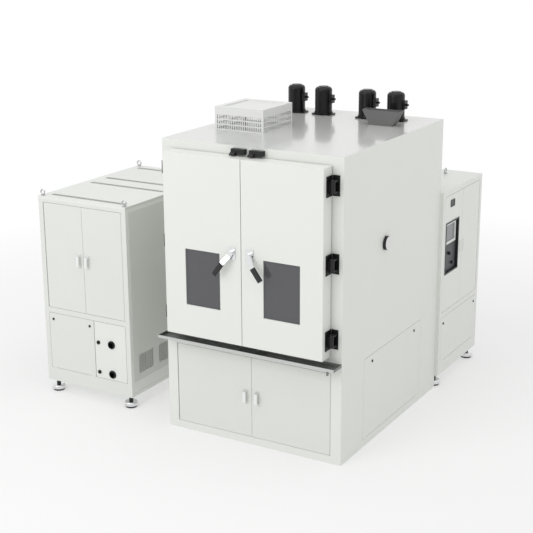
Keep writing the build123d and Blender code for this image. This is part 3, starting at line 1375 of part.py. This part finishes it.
def cabinet_nodes():
    """Nodes of the cooling cabinet and the control cabinet."""
    found = {
        "cooling_cabinet": cooling_cabinet(),
        "cooling_panels": cooling_panels(),
        "cooling_door_right": placed(COOLING_PLACE, cooling_door()),
        "cooling_door_left": placed(COOLING_PLACE, flipped(cooling_door())),
        "pipe_ports": pipe_ports(),
        "refrigeration_set": refrigeration_set(),
        "control_cabinet": control_cabinet(),
        "control_door_right": placed(CONTROL_PLACE, control_door()),
        "control_door_left": placed(CONTROL_PLACE, operator_door()),
        "operator_panel": operator_panel(),
        "screen": screen(),
        "selector_knob": selector_knob(),
        "push_button": push_button(),
        "switchgear": switchgear(),
        "feet_and_lifting_eyes": feet_and_lifting_eyes(),
    }
    inset = CABINET_LATCH_INSET
    place = COOLING_PLACE * Pos(-CABINET_EDGE, 0, COOLING_PANEL_LOW)
    height = COOLING_PANEL_HIGH - COOLING_PANEL_LOW
    found |= panel_with_latches("cooling", place, COOLING_PANEL_WIDTH, height, inset)
    place = CONTROL_PLACE * Pos(-CABINET_EDGE, 0, CONTROL_PANEL_LOW)
    height = CONTROL_PANEL_HIGH - CONTROL_PANEL_LOW
    return found | panel_with_latches("control", place, 2 * CABINET_EDGE, height, inset)


os.makedirs("parts", exist_ok=True)
for node, pieces in (chamber_nodes() | cabinet_nodes()).items():
    solids = [solid for piece in pieces for solid in piece.solids()]
    export_step(Compound(solids), f"parts/{node}.step")
    print(node, len(solids))
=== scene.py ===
# %% [markdown]
# # A two-door test chamber, dressed for its portrait
#
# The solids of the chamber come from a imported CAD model, and nothing here moves or reshapes them.
# This lesson gives every solid a finish and sets the light and the camera of the photograph. It adds
# no piece of its own to the machine.

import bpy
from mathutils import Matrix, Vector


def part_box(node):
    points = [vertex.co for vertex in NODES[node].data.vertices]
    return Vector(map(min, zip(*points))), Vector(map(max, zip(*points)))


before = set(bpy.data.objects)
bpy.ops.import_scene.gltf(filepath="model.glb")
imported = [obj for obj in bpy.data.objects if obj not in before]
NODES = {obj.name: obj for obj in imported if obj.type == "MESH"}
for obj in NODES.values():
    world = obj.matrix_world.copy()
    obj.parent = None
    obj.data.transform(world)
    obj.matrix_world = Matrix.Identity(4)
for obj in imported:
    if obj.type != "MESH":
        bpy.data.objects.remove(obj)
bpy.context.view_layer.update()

# %% [markdown]
# ## Imports and two small measures
#
# mathutils has the vectors and matrices that aim the lamps and the camera. The corners of a solid's
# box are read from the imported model, so the rules below follow it.

# %% Tools
import math

import bpy
from mathutils import Matrix, Vector

MM = 0.001


def low(node):
    """Lowest corner of a solid."""
    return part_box(node)[0]


def high(node):
    """Highest corner of a solid."""
    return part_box(node)[1]


print("casing from", low("outer_casing"), "to", high("outer_casing"))

# %% [markdown]
# ## One recipe for every solid finish
#
# A powder coat, a brushed sheet and a moulded grip differ in colour, gloss and grain, but they are
# built alike: a fine noise raises the surface a little, and a wide, faint noise drifts its colour and
# its gloss, since no real sheet is the same all over. The noise is read in the object's own
# coordinates, which are metres here, so a scale of 900 gives grains of about a millimetre.

# %% Recipe for a finish
def finish(name, colour, gloss, metal=0.0, grain=900.0, relief=0.03, drift=0.03, cloud=2.2,
           stretch=(1, 1, 1), coat=0.0, mirror=0.5):
    """Procedural material with a fine relief and a faint drift of colour and gloss."""
    material = bpy.data.materials.new(name)
    material.use_nodes = True
    tree = material.node_tree
    shader = tree.nodes["Principled BSDF"]
    shader.inputs["Metallic"].default_value = metal
    shader.inputs["Coat Weight"].default_value = coat
    shader.inputs["Coat Roughness"].default_value = 0.08
    shader.inputs["Specular IOR Level"].default_value = mirror

    where = tree.nodes.new("ShaderNodeTexCoord")
    along = tree.nodes.new("ShaderNodeMapping")
    along.inputs["Scale"].default_value = stretch
    tree.links.new(where.outputs["Object"], along.inputs["Vector"])

    fine = tree.nodes.new("ShaderNodeTexNoise")
    fine.inputs["Scale"].default_value = grain
    fine.inputs["Detail"].default_value = 3.0
    tree.links.new(along.outputs["Vector"], fine.inputs["Vector"])
    bump = tree.nodes.new("ShaderNodeBump")
    bump.inputs["Strength"].default_value = 0.6
    bump.inputs["Distance"].default_value = relief * MM
    tree.links.new(fine.outputs["Fac"], bump.inputs["Height"])
    tree.links.new(bump.outputs["Normal"], shader.inputs["Normal"])

    wide = tree.nodes.new("ShaderNodeTexNoise")
    wide.inputs["Scale"].default_value = cloud
    wide.inputs["Detail"].default_value = 4.0
    tree.links.new(along.outputs["Vector"], wide.inputs["Vector"])
    tint = tree.nodes.new("ShaderNodeMix")
    tint.data_type = "RGBA"
    tint.inputs["A"].default_value = [c * (1 - drift) for c in colour] + [1]
    tint.inputs["B"].default_value = [min(1.0, c * (1 + drift)) for c in colour] + [1]
    tree.links.new(wide.outputs["Fac"], tint.inputs["Factor"])
    tree.links.new(tint.outputs["Result"], shader.inputs["Base Color"])
    dull = tree.nodes.new("ShaderNodeMapRange")
    dull.inputs["To Min"].default_value = max(0.02, gloss * 0.88)
    dull.inputs["To Max"].default_value = min(1.0, gloss * 1.12)
    tree.links.new(fine.outputs["Fac"], dull.inputs["Value"])
    tree.links.new(dull.outputs["Result"], shader.inputs["Roughness"])
    return material


def grey(value):
    """Neutral colour from its value on screen, from 0 to 1."""
    linear = value / 12.92 if value <= 0.04045 else ((value + 0.055) / 1.055) ** 2.4
    return (linear, linear, linear)


def tone(red, green, blue):
    """Colour from its three values on screen, from 0 to 255."""
    return tuple(grey(channel / 255)[0] for channel in (red, green, blue))


print("mid grey is", grey(0.5)[0])

# %% [markdown]
# ## The finishes of this machine
#
# The sheet metal has a warm white powder coat. On the chamber's roof the same coat is smoother, so
# the motors and the vent box show in it as soft streaks; there its colour is also darker, which is
# painted shade on the faces that look up. The test space, its tray and the duct are brushed
# stainless steel, where the grain runs along the sheet.

# %% Finishes
ALONG_WALL = (1, 1, 60)
ALONG_TRAY = (1, 30, 30)

FINISH = {
    "white coat": finish("white coat", tone(228, 230, 225), 0.42, grain=700, relief=0.025,
                         drift=0.012, coat=0.15),
    # Darker copy of the white coat for the roof: painted shade on the faces that look up.
    "roof coat with painted shade": finish("roof coat with painted shade", tone(206, 207, 204), 0.24, grain=700, relief=0.012,
                        drift=0.015, coat=0.6),
    "frame coat": finish("frame coat", tone(222, 224, 219), 0.45, grain=700, relief=0.03,
                         drift=0.015, coat=0.1),
    # Darker copy of the frame coat for faces that look sideways: painted shade.
    "side coat with painted shade": finish("side coat with painted shade", tone(206, 208, 203), 0.5, grain=700, relief=0.03,
                        drift=0.02, coat=0.1),
    "hopper coat": finish("hopper coat", tone(104, 104, 104), 0.5, grain=600, relief=0.05, drift=0.05),
    "black coat": finish("black coat", tone(22, 22, 23), 0.42, grain=800, relief=0.04, drift=0.15,
                         coat=0.08, mirror=0.3),
    "motor enamel": finish("motor enamel", tone(11, 11, 12), 0.34, grain=400, relief=0.03, drift=0.2,
                           coat=0.1, mirror=0.25),
    "brushed steel": finish("brushed steel", tone(196, 196, 194), 0.32, 1.0, 60, 0.02, 0.05, 3.0,
                            ALONG_WALL),
    "tray steel": finish("tray steel", tone(200, 201, 199), 0.28, 1.0, 60, 0.02, 0.05, 3.0, ALONG_TRAY),
    # Darker copy of the tray steel for the inside of the tray: painted shade under the doors.
    "tray inside with painted shade": finish("tray inside with painted shade", tone(132, 133, 131), 0.45, 1.0, 60, 0.02, 0.08, 3.0,
                          ALONG_TRAY),
    "galvanised steel": finish("galvanised steel", tone(176, 178, 178), 0.42, 1.0, 90, 0.02, 0.12, 40),
    "chrome": finish("chrome", tone(226, 226, 228), 0.09, 1.0, 300, 0.004, 0.02),
    "handle steel": finish("handle steel", tone(240, 240, 240), 0.3, 1.0, 500, 0.01, 0.03),
    "turned steel": finish("turned steel", tone(190, 190, 190), 0.25, 1.0, 500, 0.01, 0.06),
    "aluminium": finish("aluminium", tone(205, 206, 208), 0.35, 1.0, 400, 0.02, 0.06),
    "rubber": finish("rubber", tone(32, 32, 33), 0.72, grain=1200, relief=0.06, drift=0.12),
    "grip plastic": finish("grip plastic", tone(24, 24, 25), 0.48, grain=1500, relief=0.08, drift=0.1),
    # Black for the operator panel; on the walls of its recess it is painted shade.
    "panel black with painted recess shade": finish("panel black with painted recess shade", tone(30, 30, 32), 0.4, grain=1200, relief=0.05, drift=0.1),
    "plate grey": finish("plate grey", tone(74, 75, 77), 0.5, grain=1200, relief=0.05, drift=0.06),
    "bezel plastic": finish("bezel plastic", tone(226, 227, 225), 0.45, grain=1200, relief=0.04,
                            drift=0.02),
    "device plastic": finish("device plastic", tone(188, 190, 190), 0.5, grain=1200, relief=0.05,
                             drift=0.05, cloud=14),
    "foam": finish("foam", tone(226, 208, 158), 0.9, grain=220, relief=1.2, drift=0.1, cloud=20),
    "heater": finish("heater", tone(96, 90, 84), 0.45, 1.0, 300, 0.03, 0.2, 30),
}
print("finishes", len(FINISH))

# %% [markdown]
# ## Glass
#
# The windows are heated glass with a grey tint: the light loses strength in it, and its polished face
# mirrors the room. A little of the tint drifts, as coated glass does. The touch screen is the same
# idea, with a grey layer right behind the surface.

# %% Glass finishes
def glass(name, tint, clear, gloss):
    """Tinted glass that lets a share of the light through."""
    material = finish(name, tint, gloss, grain=40, relief=0.001, drift=0.03, cloud=3)
    shader = material.node_tree.nodes["Principled BSDF"]
    shader.inputs["Transmission Weight"].default_value = clear
    shader.inputs["IOR"].default_value = 1.5
    return material


FINISH["window glass"] = glass("window glass", tone(120, 120, 125), 0.55, 0.04)
FINISH["screen glass"] = glass("screen glass", tone(128, 131, 134), 0.0, 0.12)
print("glass ready")

# %% [markdown]
# ## Giving each solid its finish
#
# Some solids hold more than one material, such as a levelling foot with its rubber pad. Each face of
# a solid may use another of its slots, so a short rule picks the slot from where the face is.

# %% Tools for dressing
FLAT = 0.99
FACING = 0.7


def dress(node, *names, rule=None):
    """Gives a solid its finishes; the rule turns a face's middle and normal into a finish's number."""
    mesh = NODES[node].data
    mesh.materials.clear()
    for name in names:
        mesh.materials.append(FINISH[name])
    for face in mesh.polygons:
        face.material_index = rule(face.center, face.normal) if rule else 0


def face_level(node, way):
    """How far out lies the largest flat face of a solid that looks one way."""
    flat = [face for face in NODES[node].data.polygons if face.normal.dot(way) > FLAT]
    return max(flat, key=lambda face: face.area).center.dot(way)


print("the base's front lies at", face_level("base_frame", Vector((0, -1, 0))))

# %% [markdown]
# ## Solids of one finish
#
# Most solids are made of one material and need no rule, so a list of names is enough.

# %% Plain solids
PLAIN = {
    "white coat": ("base_frame", "service_panel", "control_panel", "control_door_left",
                   "control_door_right", "control_cabinet"),
    "frame coat": ("cooling_panel", "cooling_cabinet"),
    "bezel plastic": ("vent_box",),
    "hopper coat": ("intake_hopper",),
    "foam": ("insulation",),
    "brushed steel": ("test_space_liner",),
    "galvanised steel": ("air_baffle",),
    "black coat": ("door_catches", "hinge_brackets", "refrigeration_set"),
    "motor enamel": ("fan_motors",),
    "aluminium": ("fan_rotor_1", "fan_rotor_2", "fan_rotor_3", "fan_rotor_4"),
    "rubber": ("left_door_gasket", "right_door_gasket"),
    "window glass": ("left_door_window", "right_door_window"),
    "chrome": ("left_lever", "right_lever"),
    "grip plastic": ("left_lever_grip", "right_lever_grip", "selector_knob", "push_button",
                     "service_latch_1", "service_latch_2", "cooling_latch_1", "cooling_latch_2",
                     "control_latch_1", "control_latch_2", "pipe_ports"),
    "turned steel": ("left_upper_rod", "left_lower_rod", "right_upper_rod", "right_lower_rod"),
}
for name, nodes in PLAIN.items():
    for node in nodes:
        dress(node, name)
print("plain solids", sum(len(nodes) for nodes in PLAIN.values()))

# %% [markdown]
# ## Casing, doors and handles
#
# The roof's coat is smoother than the walls', and its darker colour is painted shade on the faces
# that look up. A door leaf is painted outside and has a steel sheet on the side of the test space.
# Roses stand out of the leaf near its middle, and bow handles stand out of the small doors, so their
# distance in front of the door tells them apart.

# %% Casing and doors
LOOKS_UP = 0.5
LOOKS_SIDEWAYS = 0.5
LEAF_GAP = 8.5 * MM
ROSE_REACH = 0.3
TRAY_LIP = 3 * MM
FORWARD = Vector((0, -1, 0))

leaf_rear = low("outer_casing").y - LEAF_GAP
leaf_front = low("left_door_leaf").y
tray_front = low("drip_tray").y

# Faces that look up take the darker roof colour, which is painted shade.
dress("outer_casing", "white coat", "roof coat with painted shade", rule=lambda p, n: int(n.z > LOOKS_UP))
# Sideways faces of the cooling panels take the darker side coat, which is painted shade.
dress("cooling_panels", "white coat", "side coat with painted shade", rule=lambda p, n: int(abs(n.x) > LOOKS_SIDEWAYS))
# Faces behind the tray's lip take the darker steel, which is painted shade under the doors.
dress("drip_tray", "tray steel", "tray inside with painted shade", rule=lambda p, n: int(p.y > tray_front + TRAY_LIP))
for side in ("left", "right"):
    dress(f"{side}_door_leaf", "white coat", "brushed steel",
          rule=lambda p, n: int(p.y > leaf_rear + MM))
    dress(f"{side}_door_fittings", "black coat", "chrome",
          rule=lambda p, n: int(p.y < leaf_front + MM and abs(p.x) < ROSE_REACH))
for node in ("left_base_door", "right_base_door", "cooling_door_left", "cooling_door_right"):
    skin = face_level(node, FORWARD)
    dress(node, "frame coat", "handle steel", rule=lambda p, n: int(-p.y > skin + MM / 2))
print("leaf from", leaf_front, "to", leaf_rear)

# %% [markdown]
# ## Port, inner pieces and feet
#
# A levelling foot is a rubber pad, a chrome bell and a black nut above each other, so the height of a
# face tells its material. In the duct the heater rods lie over the coil, and in the control cabinet
# the devices stand in front of their plate.

# %% Port, inner pieces and feet
HEATER_LOW = 1.9
MOUNTING_PLATE = 0.475
PAD_TOP = 18 * MM
BELL_TOP = 54 * MM
NUT_TOP = 78 * MM


def foot_rule(middle, normal):
    """Rubber pad and black nut, chrome bell, plain steel for the eyes on the roof."""
    if middle.z < PAD_TOP + MM / 2 or BELL_TOP + MM / 2 < middle.z < NUT_TOP + MM / 2:
        return 1
    return 0 if middle.z < BELL_TOP + MM else 2


dress("port_flange", "turned steel")
dress("port_plug", "rubber", "bezel plastic", rule=lambda p, n: int(n.x > FACING))
dress("evaporator", "aluminium", "heater", rule=lambda p, n: int(p.z > HEATER_LOW))
dress("switchgear", "galvanised steel", "device plastic", rule=lambda p, n: int(p.x > MOUNTING_PLATE))
dress("feet_and_lifting_eyes", "chrome", "rubber", "turned steel", rule=foot_rule)
print("rubber faces", sum(f.material_index == 1 for f in NODES["feet_and_lifting_eyes"].data.polygons))

# %% [markdown]
# ## Operator panel
#
# The panel is a black tray in the near door of the control cabinet, with a grey plate in its lower
# half, a screen in a white bezel above it and a small framed window over both. The black on the
# walls of its recess is painted shade.

# %% Operator panel
DOOR_FACE = 0.850
PLATE_DEPTH = 22 * MM
PORTHOLE_LOW = 1.56
plate_face = DOOR_FACE - PLATE_DEPTH
porthole_front = max(v.co.x for v in NODES["operator_panel"].data.vertices if v.co.z > PORTHOLE_LOW)
screen_front = high("screen").x


def operator_rule(middle, normal):
    """Grey on the lower plate and in the small window; black on the rest, which is painted shade on the
    recess walls.
    """
    if normal.x < FACING:
        return 0
    if middle.z > PORTHOLE_LOW:
        return int(middle.x < porthole_front - MM)
    return int(abs(middle.x - plate_face) < MM / 2)


# Black on the recess walls is painted shade.
dress("operator_panel", "panel black with painted recess shade", "plate grey", rule=operator_rule)
dress("screen", "bezel plastic", "screen glass",
      rule=lambda p, n: int(n.x > FACING and p.x < screen_front - MM))
print("solids dressed", sum(len(o.data.materials) > 0 for o in NODES.values()))

# %% [markdown]
# ## The floor
#
# The machine stands on a plain pale floor that runs out of the picture. Its far part gives off the
# white of the background, so no edge shows, and near the machine it takes the soft shadow.

# %% Floor
FLOOR_RADIUS = 60
FLOOR_CORNERS = 96
FLOOR_GREY = 0.93
FADE_START = 3.0
FADE_END = 7.5
GLOW_NEAR = 0.42


def pale_floor():
    """Wide round floor that fades into the white background."""
    bpy.ops.mesh.primitive_circle_add(vertices=FLOOR_CORNERS, radius=FLOOR_RADIUS, fill_type="NGON",
                                      location=(0, 0, 0))
    ground = bpy.context.object
    ground.name = "floor"
    material = bpy.data.materials.new("pale floor")
    material.use_nodes = True
    tree = material.node_tree
    shader = tree.nodes["Principled BSDF"]
    shader.inputs["Base Color"].default_value = (FLOOR_GREY, FLOOR_GREY, FLOOR_GREY, 1)
    shader.inputs["Roughness"].default_value = 0.9
    shader.inputs["Specular IOR Level"].default_value = 0.1
    white = tree.nodes.new("ShaderNodeEmission")
    where = tree.nodes.new("ShaderNodeTexCoord")
    reach = tree.nodes.new("ShaderNodeVectorMath")
    reach.operation = "LENGTH"
    tree.links.new(where.outputs["Object"], reach.inputs[0])
    fade = tree.nodes.new("ShaderNodeMapRange")
    fade.inputs["From Min"].default_value = FADE_START
    fade.inputs["From Max"].default_value = FADE_END
    fade.inputs["To Min"].default_value = GLOW_NEAR
    tree.links.new(reach.outputs["Value"], fade.inputs["Value"])
    mix = tree.nodes.new("ShaderNodeMixShader")
    tree.links.new(fade.outputs["Result"], mix.inputs["Fac"])
    tree.links.new(shader.outputs["BSDF"], mix.inputs[1])
    tree.links.new(white.outputs["Emission"], mix.inputs[2])
    tree.links.new(mix.outputs["Shader"], tree.nodes["Material Output"].inputs["Surface"])
    ground.data.materials.append(material)
    return ground


print("floor", pale_floor().name)

# %% [markdown]
# ## Light
#
# The studio is a white room. The world gives an even light from all around, a wide lamp in front
# brightens the faces that look at the camera, and the right side stays a little darker.

# %% World and lamps
ROOM_LIGHT = 0.68
SEEN_WHITE = 1.0
FRONT_WATTS = 245
TOP_WATTS = 150


def white_room(strength, seen):
    """Even white world; the camera and mirrors see it at full white."""
    world = bpy.data.worlds.new("studio")
    bpy.context.scene.world = world
    world.use_nodes = True
    tree = world.node_tree
    back = tree.nodes["Background"]
    back.inputs["Color"].default_value = (1, 1, 1, 1)
    path = tree.nodes.new("ShaderNodeLightPath")
    total = path.outputs["Is Camera Ray"]
    for other in ("Is Glossy Ray", "Is Transmission Ray"):
        both = tree.nodes.new("ShaderNodeMath")
        both.operation = "MAXIMUM"
        tree.links.new(total, both.inputs[0])
        tree.links.new(path.outputs[other], both.inputs[1])
        total = both.outputs["Value"]
    level = tree.nodes.new("ShaderNodeMapRange")
    level.inputs["To Min"].default_value = strength
    level.inputs["To Max"].default_value = seen
    tree.links.new(total, level.inputs["Value"])
    tree.links.new(level.outputs["Result"], back.inputs["Strength"])


def softbox(name, place, aim, size, power):
    """Square lamp that looks at a point."""
    lamp = bpy.data.lights.new(name, "AREA")
    lamp.size = size
    lamp.energy = power
    holder = bpy.data.objects.new(name, lamp)
    holder.location = place
    holder.rotation_euler = (Vector(aim) - Vector(place)).to_track_quat("-Z", "Y").to_euler()
    bpy.context.scene.collection.objects.link(holder)


white_room(ROOM_LIGHT, SEEN_WHITE)
softbox("front softbox", (-3.0, -9.0, 6.0), (-0.4, 0.0, 1.2), 6.0, FRONT_WATTS)
softbox("top softbox", (0.5, -1.0, 9.0), (0.0, 0.0, 0.0), 7.0, TOP_WATTS)

# %% [markdown]
# ## Camera
#
# The place, the aim and the lens were worked out from the photograph's own edges, so the render falls
# on the same points of the picture. A lens of about 81 mm keeps the far cabinet large, as it is there.

# %% Camera
CAMERA_PLACE = Vector((4.7490, -8.8065, 4.2654))
YAW = math.radians(-30.37)
PITCH = math.radians(-16.55)
ROLL = math.radians(-0.33)
FOCAL_PIXELS = 1206.6
IMAGE_PIXELS = 533
SENSOR = 36.0

forward = Vector((math.sin(YAW) * math.cos(PITCH), math.cos(YAW) * math.cos(PITCH), math.sin(PITCH)))
level_right = Vector((math.cos(YAW), -math.sin(YAW), 0))
level_up = level_right.cross(forward)
right = level_right * math.cos(ROLL) + level_up * math.sin(ROLL)
up = level_up * math.cos(ROLL) - level_right * math.sin(ROLL)
lens = bpy.data.cameras.new("camera")
lens.sensor_width = SENSOR
lens.lens = FOCAL_PIXELS / IMAGE_PIXELS * SENSOR
lens.clip_end = 200
camera = bpy.data.objects.new("camera", lens)
axes = Matrix((right, up, -forward)).transposed().to_4x4()
camera.matrix_world = Matrix.Translation(CAMERA_PLACE) @ axes
bpy.context.scene.collection.objects.link(camera)
bpy.context.scene.camera = camera
bpy.context.scene.view_settings.view_transform = "Standard"
print("lens", round(lens.lens, 2), "mm")
